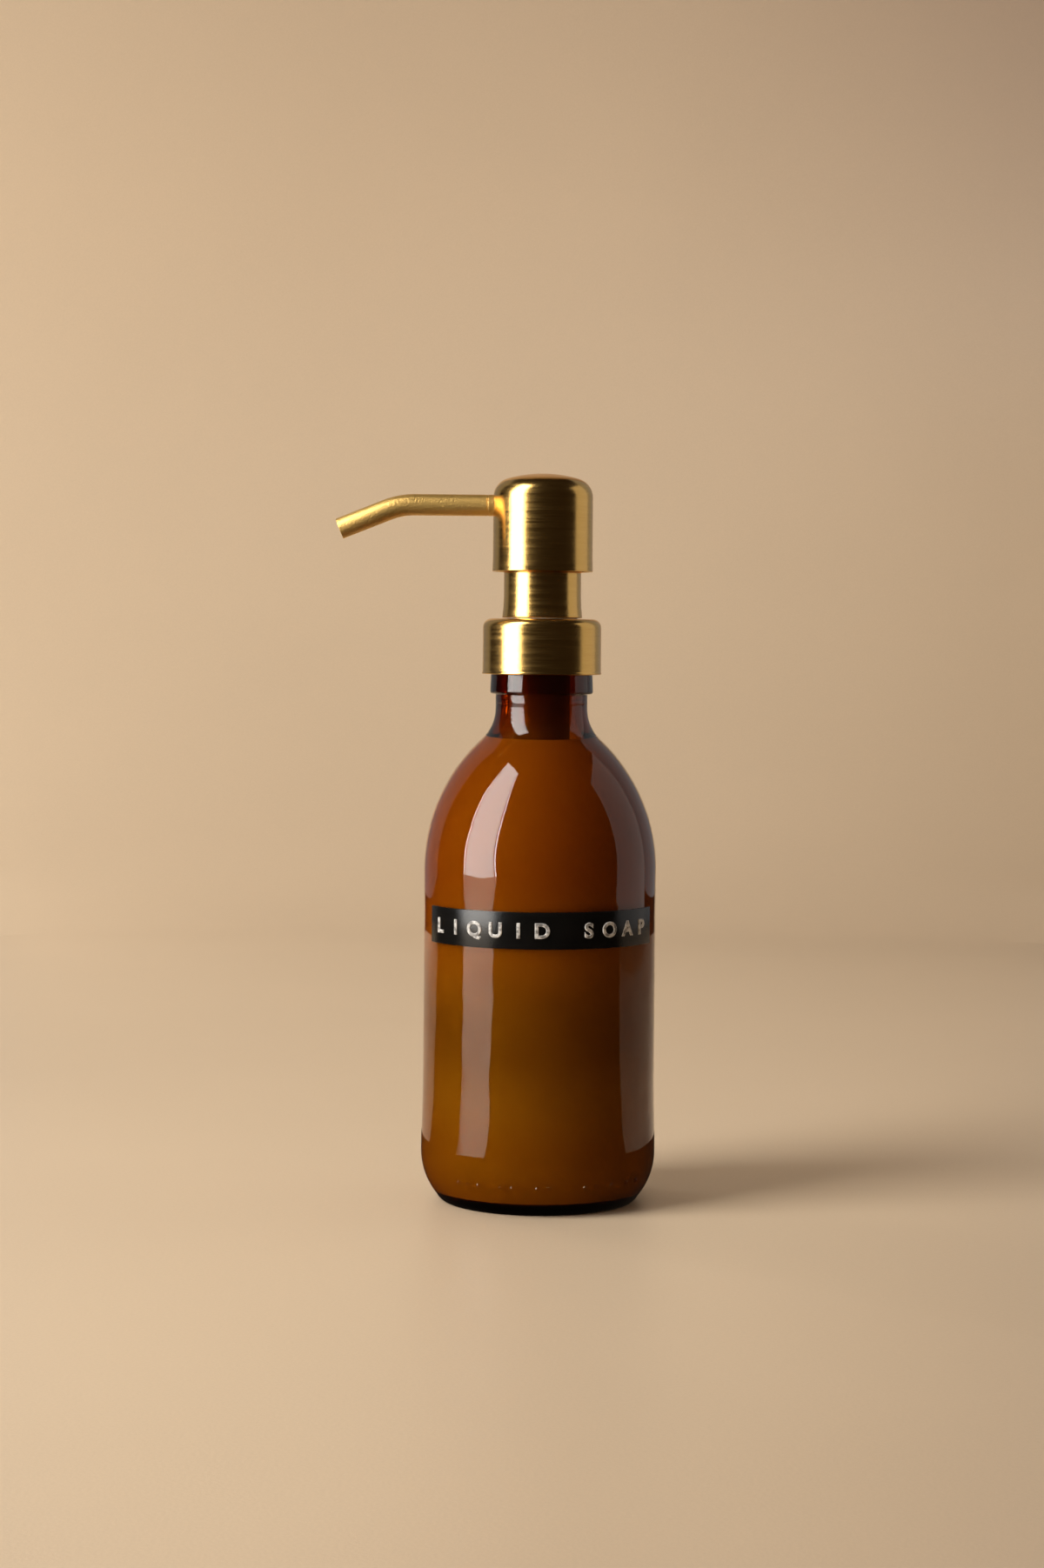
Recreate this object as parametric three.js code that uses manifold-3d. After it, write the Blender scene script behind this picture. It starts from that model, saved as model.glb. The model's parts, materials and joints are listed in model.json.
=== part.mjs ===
// Soap pump dispenser: an amber glass bottle with a brass-finished press pump.
//
// Units are millimetres and +Z is up. The origin is on the bottle's axis, at the plane it stands on.
// The spout points along -X and the label faces -Y.
//
// How the pump works: pressing the head pushes the stem, piston rod and piston down the housing against
// the return spring. The piston's lower lip lifts off the rod's poppet and soap runs up the stem to the
// spout. On the way back up the piston seats again, the ball lifts and soap is drawn up the dip tube.

import * as THREE from "three";
import { mergeVertices } from "three/addons/utils/BufferGeometryUtils.js";
import Module from "manifold-3d";

const wasm = await Module();
wasm.setup();

// ---------------------------------------------------------------- driving dimensions

const TAU = Math.PI * 2;
const ROUND_BIG = 32; // sides of the bottle, the collar and the head
const ROUND_SMALL = 20; // sides of the parts inside the pump
const GAP = 0.15; // air between two parts that rest on or slide in each other

const bottle = {
  radius: 32.5,
  heelRadius: 32.65, // the body swells a little just above the heel
  panelRadius: 32.3, // the label panel is recessed
  panelLow: 19,
  panelHigh: 89,
  heelTop: 13,
  wall: 2.7,
  ringInner: 24.6, // the flat ring that the bottle stands on
  ringOuter: 26.8,
  pushUp: 1, // depth of the recess inside that ring
  floorTop: 5,
  shoulderArc: 49.5, // radius of the convex shoulder
  shoulderLow: 92,
  neckArc: 12, // radius of the concave run-in to the neck
  neckRadius: 12.9,
  bore: 10,
  beadLow: 141,
  beadTop: 148.6,
  beadRadius: 14.45,
  finishRadius: 12.6,
  rim: 157.4,
};

const thread = {
  pitch: 25.4 / 6, // six turns to the inch
  turns: 1.25,
  crest: 13.7, // outside of the thread on the glass
  closureCrest: 13.05, // inside of the thread in the closure
  rootHalf: 1.0, // half the width at the foot of the ridge
  crestHalf: 0.5,
  low: 150.6, // middle of the glass thread where it starts
  below: 1.6, // how far under it the closure's thread runs
};

const collar = { top: 162, bottom: 146.5, radius: 16.6, flare: 0.15, corner: 2.4, wall: 0.6, hole: 10.9 };
const closure = { bottom: 147, top: 161.2, outer: 15.85, inner: 14.6, web: 0.9, hole: 10.2 };
const sleeve = { bottom: 162.3, top: 176, radius: 10.85, lip: 11.25, wall: 0.5 };
const head = {
  bottom: 175.2,
  top: 202.7,
  radius: 14,
  flare: 0.12,
  corner: 5.5,
  cornerCentre: 196, // height of the rounded corner's centre
  wall: 0.65,
};
const spout = {
  height: 193.7,
  tube: 3,
  bore: 2.3,
  vertex: 39.9, // where the straight and the dipping part would meet
  reach: 57,
  dip: THREE.MathUtils.degToRad(21.9),
  bend: 20.5,
  root: 6.5, // how near the axis the tube starts, inside the head
};
const housing = {
  flangeTop: 160.2,
  flange: 1.4,
  flangeRadius: 13,
  outer: 8,
  chamber: 7,
  floor: 121,
  pocket: 3.6,
  seatTop: 117.5,
  seatBore: 1.6,
  socketTop: 113,
  socketBottom: 103,
  socketBore: 3.15,
  socketOuter: 4.6,
};
const gasket = { inner: 8.4, outer: 13, thickness: 1.1 };
const chaplet = { plugBottom: 154, plug: 6.8, skirt: 10.15, stemBore: 4.3, top: 168, skirtTop: 175.2 };
const stem = { outer: 4, inner: 2.4, bottom: 147, top: 190.5 };
const rod = {
  poppet: 5.2,
  poppetTop: 145.4,
  poppetBottom: 143.2,
  guide: 2.2,
  tip: 135.2,
  top: 158,
  blade: 1, // half the thickness of the blade inside the stem
};
const piston = { top: 152.6, bottom: 145.6, lip: 6.85, waist: 6.1 };
const spring = { wire: 0.9, radius: 4.5, turns: 5 };
const ball = { radius: 2.5 };
const cage = { radius: 6.7, thickness: 1.4, hole: 1.25, holeCircle: 3.4 };
const dipTube = { outer: 3, inner: 2, bottom: 6.6 };
const insert = {
  outer: 13.1,
  bottom: 188.6,
  top: 199.4,
  topRadius: 11,
  hub: 6.4,
  hubBottom: 181,
  channel: 1.8,
};
const spoutSeal = { thickness: 1.1, place: 9.6, room: 0.15 }; // an O-ring round the root of the spout
const label = { low: 72.8, high: 82.8, inner: 32.4, outer: 32.7, left: -65.5, right: 68 };

// ---------------------------------------------------------------- helpers

const v2 = (r, z) => new THREE.Vector2(r, z);

// Points along an arc of radius R about (r, z), from one angle to another, in degrees from the +r direction.
function arc(r, z, R, from, to, steps) {
  const points = [];
  for (let i = 0; i <= steps; i++) {
    const a = THREE.MathUtils.degToRad(from + ((to - from) * i) / steps);
    points.push(v2(r + R * Math.cos(a), z + R * Math.sin(a)));
  }
  return points;
}

// Turns an outline of (radius, height) points about Z. One that never touches the axis closes on itself.
function turned(outline, sides = ROUND_SMALL) {
  let area = 0;
  outline.forEach((p, i) => (area += p.cross(outline[(i + 1) % outline.length])));
  const points = area > 0 ? [...outline] : [...outline].reverse();
  const solidCore = points.some((p) => p.x === 0);
  if (!solidCore) points.push(points[0].clone());
  else while (points[0].x !== 0 || points[points.length - 1].x !== 0) points.push(points.shift());
  return new THREE.LatheGeometry(points, sides).rotateX(Math.PI / 2);
}

// A plain tube or ring between two radii and two heights.
function ring(inner, outer, low, high, sides = ROUND_SMALL) {
  return turned([v2(inner, low), v2(outer, low), v2(outer, high), v2(inner, high)], sides);
}

// A rod along X, from one x to another, at a height.
function rodAlongX(radius, from, to, height, sides = ROUND_SMALL) {
  const g = new THREE.CylinderGeometry(radius, radius, Math.abs(to - from), sides);
  return g.rotateZ(Math.PI / 2).translate((from + to) / 2, 0, height);
}

function solid(geometry) {
  const bare = geometry.index ? geometry.toNonIndexed() : geometry.clone();
  const positionOnly = new THREE.BufferGeometry().setAttribute("position", bare.getAttribute("position"));
  const merged = mergeVertices(positionOnly, 1e-4);
  return new wasm.Manifold(
    new wasm.Mesh({
      numProp: 3,
      vertProperties: merged.attributes.position.array,
      triVerts: new Uint32Array(merged.index.array),
    }),
  );
}

function geometryOf(manifold) {
  const mesh = manifold.getMesh();
  return new THREE.BufferGeometry()
    .setAttribute("position", new THREE.BufferAttribute(new Float32Array(mesh.vertProperties), 3))
    .setIndex(new THREE.BufferAttribute(new Uint32Array(mesh.triVerts), 1));
}

const joined = (a, b) => geometryOf(solid(a).add(solid(b)));
const cut = (a, ...tools) => geometryOf(tools.reduce((body, tool) => body.subtract(solid(tool)), solid(a)));

// A tapering screw ridge. root and crest are radii, and the ridge stands outwards if crest is the larger one.
function screwRidge(root, crest, low, turns) {
  const steps = Math.round(turns * ROUND_SMALL);
  const taper = 4; // steps over which each end grows to full height
  const corners = [];
  for (let i = 0; i <= steps; i++) {
    const angle = (i / ROUND_SMALL) * TAU;
    const z = low + (i / ROUND_SMALL) * thread.pitch;
    const grown = Math.min(1, (Math.min(i, steps - i) + 0.3) / taper);
    const tip = root + (crest - root) * grown;
    for (const [r, dz] of [
      [root, -thread.rootHalf],
      [tip, -thread.crestHalf],
      [tip, thread.crestHalf],
      [root, thread.rootHalf],
    ])
      corners.push(r * Math.cos(angle), r * Math.sin(angle), z + dz);
  }
  const faces = [0, 1, 2, 0, 2, 3];
  for (let i = 0; i < steps; i++)
    for (let k = 0; k < 4; k++) {
      const a = i * 4 + k;
      const b = i * 4 + ((k + 1) % 4);
      faces.push(a, a + 4, b, b, a + 4, b + 4);
    }
  const end = steps * 4;
  faces.push(end, end + 2, end + 1, end, end + 3, end + 2);
  if (crest < root) faces.reverse(); // an inward ridge turns its faces round
  return new THREE.BufferGeometry()
    .setAttribute("position", new THREE.BufferAttribute(new Float32Array(corners), 3))
    .setIndex(faces);
}

// A round or annular section swept along a curve.
function swept(curve, outer, inner, steps, sides) {
  const section = new THREE.Shape().absarc(0, 0, outer, 0, TAU);
  if (inner) section.holes.push(new THREE.Path().absarc(0, 0, inner, 0, TAU, true));
  return new THREE.ExtrudeGeometry(section, { extrudePath: curve, steps, curveSegments: sides });
}

// ---------------------------------------------------------------- materials

function finish(color, roughness, metalness = 0) {
  return new THREE.MeshStandardMaterial({ color, roughness, metalness });
}
const amberGlass = finish(0x5a2a0a, 0.08);
const brass = finish(0xb08840, 0.32, 1);
const blackTape = finish(0x141414, 0.45);
const whitePlastic = finish(0xeeeae0, 0.45);
const clearPlastic = finish(0xe4e4de, 0.35);
const softSeal = finish(0xd9d6cc, 0.7);
const steel = finish(0xb4b6b8, 0.25, 1);

// ---------------------------------------------------------------- the bottle

// The shoulder is two tangent arcs: a convex one up from the body and a concave one into the neck.
// This gives the concave arc's centre height and the angle, from the horizontal, at which they meet.
function shoulderOf(radius, neckRadius, convex, concave) {
  const centre = radius - convex;
  const across = neckRadius + concave - centre;
  const rise = Math.sqrt((convex + concave) ** 2 - across ** 2);
  return { centre, across, rise, meet: THREE.MathUtils.radToDeg(Math.atan2(rise, across)) };
}

function glassBottle() {
  const b = bottle;
  const out = shoulderOf(b.radius, b.neckRadius, b.shoulderArc, b.neckArc);
  const neckStart = b.shoulderLow + out.rise;
  const bodyInner = b.radius - b.wall;
  const inConvex = b.shoulderArc - b.wall;
  const inConcave = b.neckArc + b.wall;
  const inside = shoulderOf(bodyInner, b.bore, inConvex, inConcave);
  const outer = [
    v2(b.ringInner, 0),
    v2(b.ringOuter, 0),
    v2(28.2, 0.75),
    v2(28.9, 2),
    v2(30.6, 5.2),
    v2(31.9, 8.8),
    v2(b.heelRadius, b.heelTop),
    v2(b.heelRadius, b.panelLow - 2.5),
    v2(b.panelRadius, b.panelLow),
    v2(b.panelRadius, b.panelHigh),
    v2(b.radius, b.shoulderLow),
    ...arc(out.centre, b.shoulderLow, b.shoulderArc, 0, out.meet, 7).slice(1),
    ...arc(b.neckRadius + b.neckArc, neckStart, b.neckArc, 180 + out.meet, 180, 3).slice(1),
    v2(b.neckRadius, b.beadLow - 0.2),
    v2(b.beadRadius - 0.5, b.beadLow),
    v2(b.beadRadius, b.beadLow + 0.8),
    v2(b.beadRadius - 0.25, b.beadTop - 0.5),
    v2(b.finishRadius, b.beadTop),
    v2(b.finishRadius, b.rim - 0.6),
    v2(b.finishRadius - 0.6, b.rim),
  ];
  const inner = [
    v2(b.bore + 0.5, b.rim),
    v2(b.bore, b.rim - 0.5),
    ...arc(b.bore + inConcave, b.shoulderLow + inside.rise, inConcave, 180, 180 + inside.meet, 2),
    ...arc(inside.centre, b.shoulderLow, inConvex, inside.meet, 0, 5).slice(1),
    v2(bodyInner, 14),
    v2(28.4, 8.4),
    v2(24.5, b.floorTop + 0.4),
    v2(0, b.floorTop),
  ];
  const under = [v2(0, b.pushUp), v2(22.6, b.pushUp), v2(b.ringInner, 0.3)];
  const ridge = screwRidge(b.finishRadius - 0.3, thread.crest, thread.low, thread.turns);
  return joined(turned([...outer, ...inner, ...under], ROUND_BIG), ridge);
}

function labelTape() {
  const front = -90;
  const from = THREE.MathUtils.degToRad(front + label.left);
  const to = THREE.MathUtils.degToRad(front + label.right);
  const band = new THREE.Shape().absarc(0, 0, label.outer, from, to);
  band.absarc(0, 0, label.inner, to, from, true);
  const options = { depth: label.high - label.low, bevelEnabled: false, curveSegments: 14 };
  return new THREE.ExtrudeGeometry(band, options).translate(0, 0, label.low);
}

// ---------------------------------------------------------------- the screw collar

function collarShell() {
  const c = collar;
  const inner = c.radius - c.wall;
  const foot = c.radius + c.flare;
  return turned(
    [
      v2(foot - c.wall, c.bottom),
      v2(foot, c.bottom),
      v2(c.radius, c.bottom + 5),
      ...arc(c.radius - c.corner, c.top - c.corner, c.corner, 0, 90, 3),
      v2(c.hole, c.top),
      v2(c.hole, c.top - c.wall),
      ...arc(c.radius - c.corner, c.top - c.corner, c.corner - c.wall, 90, 0, 2),
      v2(inner, c.bottom + 5),
    ],
    ROUND_BIG,
  );
}

function threadedClosure() {
  const c = closure;
  const body = turned(
    [
      v2(c.inner, c.bottom),
      v2(c.outer, c.bottom),
      v2(c.outer, c.top - 2.2),
      v2(c.outer - 2.2, c.top),
      v2(c.hole, c.top),
      v2(c.hole, c.top - c.web),
      v2(c.inner, c.top - c.web),
    ],
    ROUND_BIG,
  );
  // The closure's ridge bears up against the underside of the ridge on the glass.
  const ridge = screwRidge(c.inner + 0.4, thread.closureCrest, thread.low - thread.below, thread.turns);
  return joined(body, ridge);
}

// ---------------------------------------------------------------- the pump body

function pumpHousing() {
  const h = housing;
  const flangeLow = h.flangeTop - h.flange;
  const body = turned([
    v2(h.chamber, h.flangeTop),
    v2(h.flangeRadius, h.flangeTop),
    v2(h.flangeRadius, flangeLow),
    v2(h.outer, flangeLow),
    v2(h.outer, h.floor),
    v2(h.socketOuter, h.seatTop - 2),
    v2(h.socketOuter, h.socketBottom),
    v2(h.socketBore, h.socketBottom),
    v2(h.socketBore, h.socketTop),
    v2(h.seatBore, h.socketTop),
    v2(h.seatBore, h.seatTop - (h.pocket - h.seatBore)),
    v2(h.pocket, h.seatTop),
    v2(h.pocket, h.floor),
    v2(h.chamber, h.floor),
  ]);
  const vent = rodAlongX(0.6, h.chamber - 1, h.outer + 1, 151, 8); // lets air into the bottle as soap leaves
  return cut(body, vent);
}

function rimGasket() {
  const top = housing.flangeTop - housing.flange - GAP;
  return ring(gasket.inner, gasket.outer, top - gasket.thickness, top);
}

function snapChaplet() {
  const c = chaplet;
  const seat = housing.flangeTop + GAP;
  return turned([
    v2(c.stemBore, c.plugBottom),
    v2(c.plug, c.plugBottom),
    v2(c.plug, seat),
    v2(closure.hole - 0.4, seat),
    v2(closure.hole - 0.4, sleeve.bottom + 0.6),
    v2(c.skirt, sleeve.bottom + 1.2),
    v2(c.skirt, c.skirtTop),
    v2(c.skirt - 1.2, c.skirtTop),
    v2(c.skirt - 1.2, c.top),
    v2(c.stemBore, c.top),
  ]);
}

function sleeveShell() {
  const s = sleeve;
  const inner = s.radius - s.wall;
  return turned(
    [
      v2(s.lip - 0.4, s.bottom),
      v2(s.lip, s.bottom + 0.4),
      v2(s.radius + 0.1, s.bottom + 3),
      v2(s.radius, s.bottom + 6),
      v2(s.radius, s.top - 0.5),
      v2(s.radius - 0.5, s.top),
      v2(inner - 0.6, s.top),
      v2(inner, s.top - 0.6),
      v2(inner, s.bottom + 0.8),
      v2(inner - 0.1, s.bottom),
    ],
    ROUND_BIG,
  );
}

function dipTubeBody() {
  const top = housing.socketTop - GAP;
  const tube = ring(dipTube.inner, dipTube.outer, dipTube.bottom, top);
  // The foot is cut on the slant so that it can't seal against the floor.
  const slant = new THREE.BoxGeometry(30, 30, 10).rotateY(Math.PI / 6).translate(0, 0, dipTube.bottom - 3.4);
  return cut(tube, slant);
}

function ballCage() {
  const disc = new THREE.Shape().absarc(0, 0, cage.radius, 0, TAU);
  for (let i = 0; i < 3; i++) {
    const a = (i / 3) * TAU;
    const centre = v2(cage.holeCircle * Math.cos(a), cage.holeCircle * Math.sin(a));
    disc.holes.push(new THREE.Path().absarc(centre.x, centre.y, cage.hole, 0, TAU, true));
  }
  const options = { depth: cage.thickness, bevelEnabled: false, curveSegments: 10 };
  return new THREE.ExtrudeGeometry(disc, options).translate(0, 0, housing.floor + GAP);
}

// The ball lies on a 45 degree seat; this is the height of its middle.
const ballHeight = housing.seatTop - housing.pocket + Math.SQRT2 * ball.radius + GAP;

function inletBall() {
  return new THREE.SphereGeometry(ball.radius, 14, 10).rotateX(Math.PI / 2).translate(0, 0, ballHeight);
}

class Helix extends THREE.Curve {
  constructor(radius, turns, low, high) {
    super();
    Object.assign(this, { radius, turns, low, high });
  }
  getPoint(t, target = new THREE.Vector3()) {
    const a = t * this.turns * TAU;
    const z = this.low + (this.high - this.low) * t;
    return target.set(this.radius * Math.cos(a), this.radius * Math.sin(a), z);
  }
}

const springLow = housing.floor + GAP + cage.thickness + GAP;
const springHigh = rod.poppetBottom - GAP;

function returnSpring() {
  const half = spring.wire / 2;
  const line = new Helix(spring.radius, spring.turns, springLow + half + 0.1, springHigh - half - 0.1);
  return swept(line, half, 0, spring.turns * 12, 3);
}

// ---------------------------------------------------------------- what goes down when the head is pressed

function pumpStem() {
  return ring(stem.inner, stem.outer, stem.bottom, stem.top);
}

function pistonRod() {
  const r = rod;
  const body = turned([
    v2(0, r.tip),
    v2(1.4, r.tip),
    v2(r.guide, r.tip + 1.5),
    v2(r.guide, r.poppetBottom),
    v2(r.poppet, r.poppetBottom),
    v2(r.poppet, r.poppetTop - 0.8),
    v2(r.poppet - 0.8, r.poppetTop),
    v2(stem.inner - 0.2, r.poppetTop),
    v2(stem.inner - 0.2, r.top - 0.8),
    v2(1.2, r.top),
    v2(0, r.top),
  ]);
  // Inside the stem the rod is a flat blade, so that soap can pass on both sides of it.
  const length = r.top - r.poppetTop + 1;
  const side = (sign) => {
    const box = new THREE.BoxGeometry(6, 6, length);
    return box.translate(0, sign * (r.blade + 3), r.poppetTop + length / 2);
  };
  return cut(body, side(1), side(-1));
}

function pistonCup() {
  const p = piston;
  const bore = stem.outer + GAP;
  return turned([
    v2(bore, p.bottom + 1.2),
    v2(5.4, p.bottom),
    v2(p.waist, p.bottom + 1),
    v2(p.lip, p.bottom),
    v2(p.lip, p.bottom + 1.6),
    v2(p.waist, p.bottom + 2.4),
    v2(p.waist, p.top - 2.4),
    v2(p.lip, p.top - 1.6),
    v2(p.lip, p.top),
    v2(p.waist, p.top - 1),
    v2(5.2, p.top - 1),
    v2(bore, p.top - 0.4),
  ]);
}

// ---------------------------------------------------------------- the head

// The head's crown is a shallow dome tangent to the rounded corner. This gives the dome's radius.
function domeOf(cornerRadius, cornerCentreR, cornerCentreZ, top) {
  const h = top - cornerCentreZ;
  return (cornerCentreR ** 2 + h ** 2 - cornerRadius ** 2) / (2 * (h - cornerRadius));
}

function crown(cornerRadius, top, steps) {
  const centreR = head.radius - head.corner;
  const dome = domeOf(cornerRadius, centreR, head.cornerCentre, top);
  const meet = THREE.MathUtils.radToDeg(Math.atan2(head.cornerCentre - (top - dome), centreR));
  return [
    ...arc(centreR, head.cornerCentre, cornerRadius, 0, meet, steps),
    ...arc(0, top - dome, dome, meet, 90, 3).slice(1, -1),
    v2(0, top),
  ];
}

function headShell() {
  const h = head;
  const foot = h.radius + h.flare;
  const lip = [v2(foot - h.wall, h.bottom), v2(foot, h.bottom), v2(h.radius, h.bottom + 4)];
  const outer = [...lip, ...crown(h.corner, h.top, 4)];
  const inner = crown(h.corner - h.wall, h.top - h.wall, 3).reverse();
  const shell = turned([...outer, ...inner, v2(h.radius - h.wall, h.bottom + 4)], ROUND_BIG);
  return cut(shell, rodAlongX(spout.tube + GAP, -h.radius - 2, -h.radius / 2, spout.height));
}

const sealRadius = spout.tube + spoutSeal.room + spoutSeal.thickness / 2;

function spoutSealRing() {
  const torus = new THREE.TorusGeometry(sealRadius, spoutSeal.thickness / 2, 6, 16);
  return torus.rotateY(Math.PI / 2).translate(-spoutSeal.place, 0, spout.height);
}

function headInsert() {
  const i = insert;
  const body = turned([
    v2(0, i.hubBottom),
    v2(i.hub, i.hubBottom),
    v2(i.hub, i.bottom),
    v2(i.outer, i.bottom),
    v2(i.outer, head.cornerCentre - 0.4),
    v2(i.topRadius, i.top),
    v2(0, i.top),
  ]);
  const stemSocket = ring(0, stem.outer + GAP, i.hubBottom - 1, stem.top + GAP);
  const spoutSocket = rodAlongX(spout.tube + GAP, -i.outer - 1, GAP - spout.root, spout.height);
  const rise = ring(0, i.channel, stem.top - 1, spout.height);
  const across = rodAlongX(i.channel, -spout.root - 1, i.channel * 0.9, spout.height, 12);
  const half = spoutSeal.thickness / 2 + spoutSeal.room;
  const groove = rodAlongX(sealRadius + half, -spoutSeal.place - half, half - spoutSeal.place, spout.height);
  return cut(body, stemSocket, spoutSocket, rise, across, groove);
}

// The spout's centreline: straight out, one round bend, and a straight dip to the mouth.
function spoutLine(from, shortBy = 0) {
  const s = spout;
  const tangent = s.bend * Math.tan(s.dip / 2);
  const along = (x, drop) => new THREE.Vector3(-x, 0, s.height - drop);
  const bendStart = along(s.vertex - tangent, 0);
  const bendEnd = along(s.vertex + tangent * Math.cos(s.dip), tangent * Math.sin(s.dip));
  const last = s.reach - shortBy;
  const mouth = along(last, (last - s.vertex) * Math.tan(s.dip));
  const line = new THREE.CurvePath();
  line.add(new THREE.LineCurve3(along(from, 0), bendStart));
  class Bend extends THREE.Curve {
    getPoint(t, target = new THREE.Vector3()) {
      const a = t * s.dip;
      return target.set(bendStart.x - s.bend * Math.sin(a), 0, bendStart.z - s.bend * (1 - Math.cos(a)));
    }
  }
  line.add(new Bend());
  line.add(new THREE.LineCurve3(bendEnd, mouth));
  return line;
}

const spoutTube = () => swept(spoutLine(spout.root), spout.tube, spout.bore, 13, 8);
const spoutLiner = () => swept(spoutLine(spout.root + 0.4, 1), spout.bore - GAP, spout.bore - 0.8, 13, 5);

// ---------------------------------------------------------------- the assembly

const dispenser = new THREE.Group();

function add(group, name, geometry, material) {
  const mesh = new THREE.Mesh(geometry, material);
  mesh.name = name;
  group.add(mesh);
}

const bottleGroup = new THREE.Group();
add(bottleGroup, "glass_bottle", glassBottle(), amberGlass);
add(bottleGroup, "label_tape", labelTape(), blackTape);

const collarGroup = new THREE.Group();
add(collarGroup, "collar_shell", collarShell(), brass);
add(collarGroup, "threaded_closure", threadedClosure(), whitePlastic);

const pumpBody = new THREE.Group();
add(pumpBody, "pump_housing", pumpHousing(), clearPlastic);
add(pumpBody, "rim_gasket", rimGasket(), softSeal);
add(pumpBody, "snap_chaplet", snapChaplet(), whitePlastic);
add(pumpBody, "sleeve_shell", sleeveShell(), brass);
add(pumpBody, "dip_tube", dipTubeBody(), clearPlastic);
add(pumpBody, "ball_cage", ballCage(), whitePlastic);
add(pumpBody, "inlet_ball", inletBall(), steel);
add(pumpBody, "return_spring", returnSpring(), steel);

const plunger = new THREE.Group();
add(plunger, "pump_stem", pumpStem(), whitePlastic);
add(plunger, "piston_rod", pistonRod(), whitePlastic);
add(plunger, "piston_cup", pistonCup(), softSeal);

const headGroup = new THREE.Group();
add(headGroup, "head_shell", headShell(), brass);
add(headGroup, "head_insert", headInsert(), whitePlastic);
add(headGroup, "spout_seal", spoutSealRing(), softSeal);
add(headGroup, "spout_tube", spoutTube(), brass);
add(headGroup, "spout_liner", spoutLiner(), clearPlastic);
plunger.add(headGroup);
pumpBody.add(plunger);

dispenser.add(bottleGroup, collarGroup, pumpBody);

export default dispenser;
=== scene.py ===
# %% [markdown]
# # A soap pump dispenser
#
# This lesson models and shades a press-pump soap dispenser: an amber glass bottle, a black
# embossed label, and a brushed brass pump with everything that is inside it. An engineering model
# of the same object is loaded first. It fixes every size and every joint, and each piece made
# here takes the place of one of its plain parts.

# %% Load the engineering model
import math

import json

import bpy
from mathutils import Matrix, Vector


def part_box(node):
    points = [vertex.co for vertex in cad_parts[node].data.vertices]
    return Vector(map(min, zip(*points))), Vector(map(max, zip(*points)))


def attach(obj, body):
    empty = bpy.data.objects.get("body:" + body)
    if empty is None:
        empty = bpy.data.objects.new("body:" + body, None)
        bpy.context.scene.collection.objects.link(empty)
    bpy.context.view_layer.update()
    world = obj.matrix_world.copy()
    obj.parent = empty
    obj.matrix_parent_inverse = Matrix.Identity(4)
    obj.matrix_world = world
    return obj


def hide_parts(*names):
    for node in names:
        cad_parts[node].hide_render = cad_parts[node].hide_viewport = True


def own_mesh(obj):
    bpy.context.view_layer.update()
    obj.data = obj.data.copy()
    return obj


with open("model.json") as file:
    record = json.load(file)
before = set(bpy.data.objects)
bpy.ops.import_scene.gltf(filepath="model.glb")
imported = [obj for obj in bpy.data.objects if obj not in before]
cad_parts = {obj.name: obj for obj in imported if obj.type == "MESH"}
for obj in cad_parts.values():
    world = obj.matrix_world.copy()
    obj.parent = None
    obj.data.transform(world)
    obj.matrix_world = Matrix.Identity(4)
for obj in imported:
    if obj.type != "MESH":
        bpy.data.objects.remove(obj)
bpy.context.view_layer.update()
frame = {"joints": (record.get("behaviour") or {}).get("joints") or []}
MM = 0.001

# %% [markdown]
# ## Sizes
#
# The engineering parts say where everything is. A box round a part gives its lowest and highest
# corners, and the outlines further down are written in millimetres from these numbers, because a
# turned part is easiest to read as radii and heights.


# %% Measure the engineering parts
def reach(node):
    """An engineering part's lowest height, highest height and radius, in millimetres."""
    low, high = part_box(node)
    return low.z / MM, high.z / MM, high.y / MM


_, rim, heel_radius = reach("glass_bottle")
label_low, label_high, _ = reach("label_tape")
label_radius = -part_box("label_tape")[0].y / MM
collar_low, collar_high, collar_radius = reach("collar_shell")
sleeve_low, sleeve_high, sleeve_lip = reach("sleeve_shell")
head_low, head_high, head_radius = reach("head_shell")
housing_low, flange_top, flange_radius = reach("pump_housing")
_, spout_high, spout_radius = reach("spout_tube")
spout_height = spout_high - spout_radius
spout_mouth = -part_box("spout_tube")[0].x / MM
body_radius = heel_radius - 0.15
print(f"bottle {2 * heel_radius:.1f} across, {rim:.1f} high; {head_high:.1f} over the pump")

# %% [markdown]
# ## Camera
#
# The dispenser is seen from the front, from 80 cm away. The camera is level, at about three
# quarters of the dispenser's height, so that upright lines stay upright. To leave some floor in
# the frame the lens is shifted down a little instead of being tilted.

# %% Place the camera
CAMERA_DISTANCE = 0.8
CAMERA_HEIGHT = 0.1563
CAMERA_ASIDE = -0.0056
LEAN = math.radians(0.486)

bpy.ops.object.select_all(action="DESELECT")
bpy.ops.object.camera_add()
camera = bpy.context.object
camera.name = "camera"
aim = Matrix.Rotation(math.pi / 2, 4, "X") @ Matrix.Rotation(LEAN, 4, "Z")
camera.matrix_world = Matrix.Translation((CAMERA_ASIDE, -CAMERA_DISTANCE, CAMERA_HEIGHT)) @ aim
camera.data.sensor_width = 36
camera.data.lens = 65.52
camera.data.shift_y = -0.0924
camera.data.clip_start = 0.01
bpy.context.scene.camera = camera
print(f"camera {CAMERA_DISTANCE} m away, {CAMERA_HEIGHT} m up, {camera.data.lens:.1f} mm lens")

# %% [markdown]
# ## Working habits
#
# An operator acts on whatever is selected, so each piece starts with nothing selected. These two
# small helpers do that, and put a finished mesh's place into the mesh itself, so that its object
# sits at the origin as the engineering parts do.


# %% Select and settle
def clear_selection():
    if bpy.context.object and bpy.context.object.mode == "EDIT":
        bpy.ops.object.mode_set(mode="OBJECT")
    bpy.ops.object.select_all(action="DESELECT")


def only(piece):
    """Selects one piece and makes it the active one."""
    clear_selection()
    piece.select_set(True)
    bpy.context.view_layer.objects.active = piece


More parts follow.
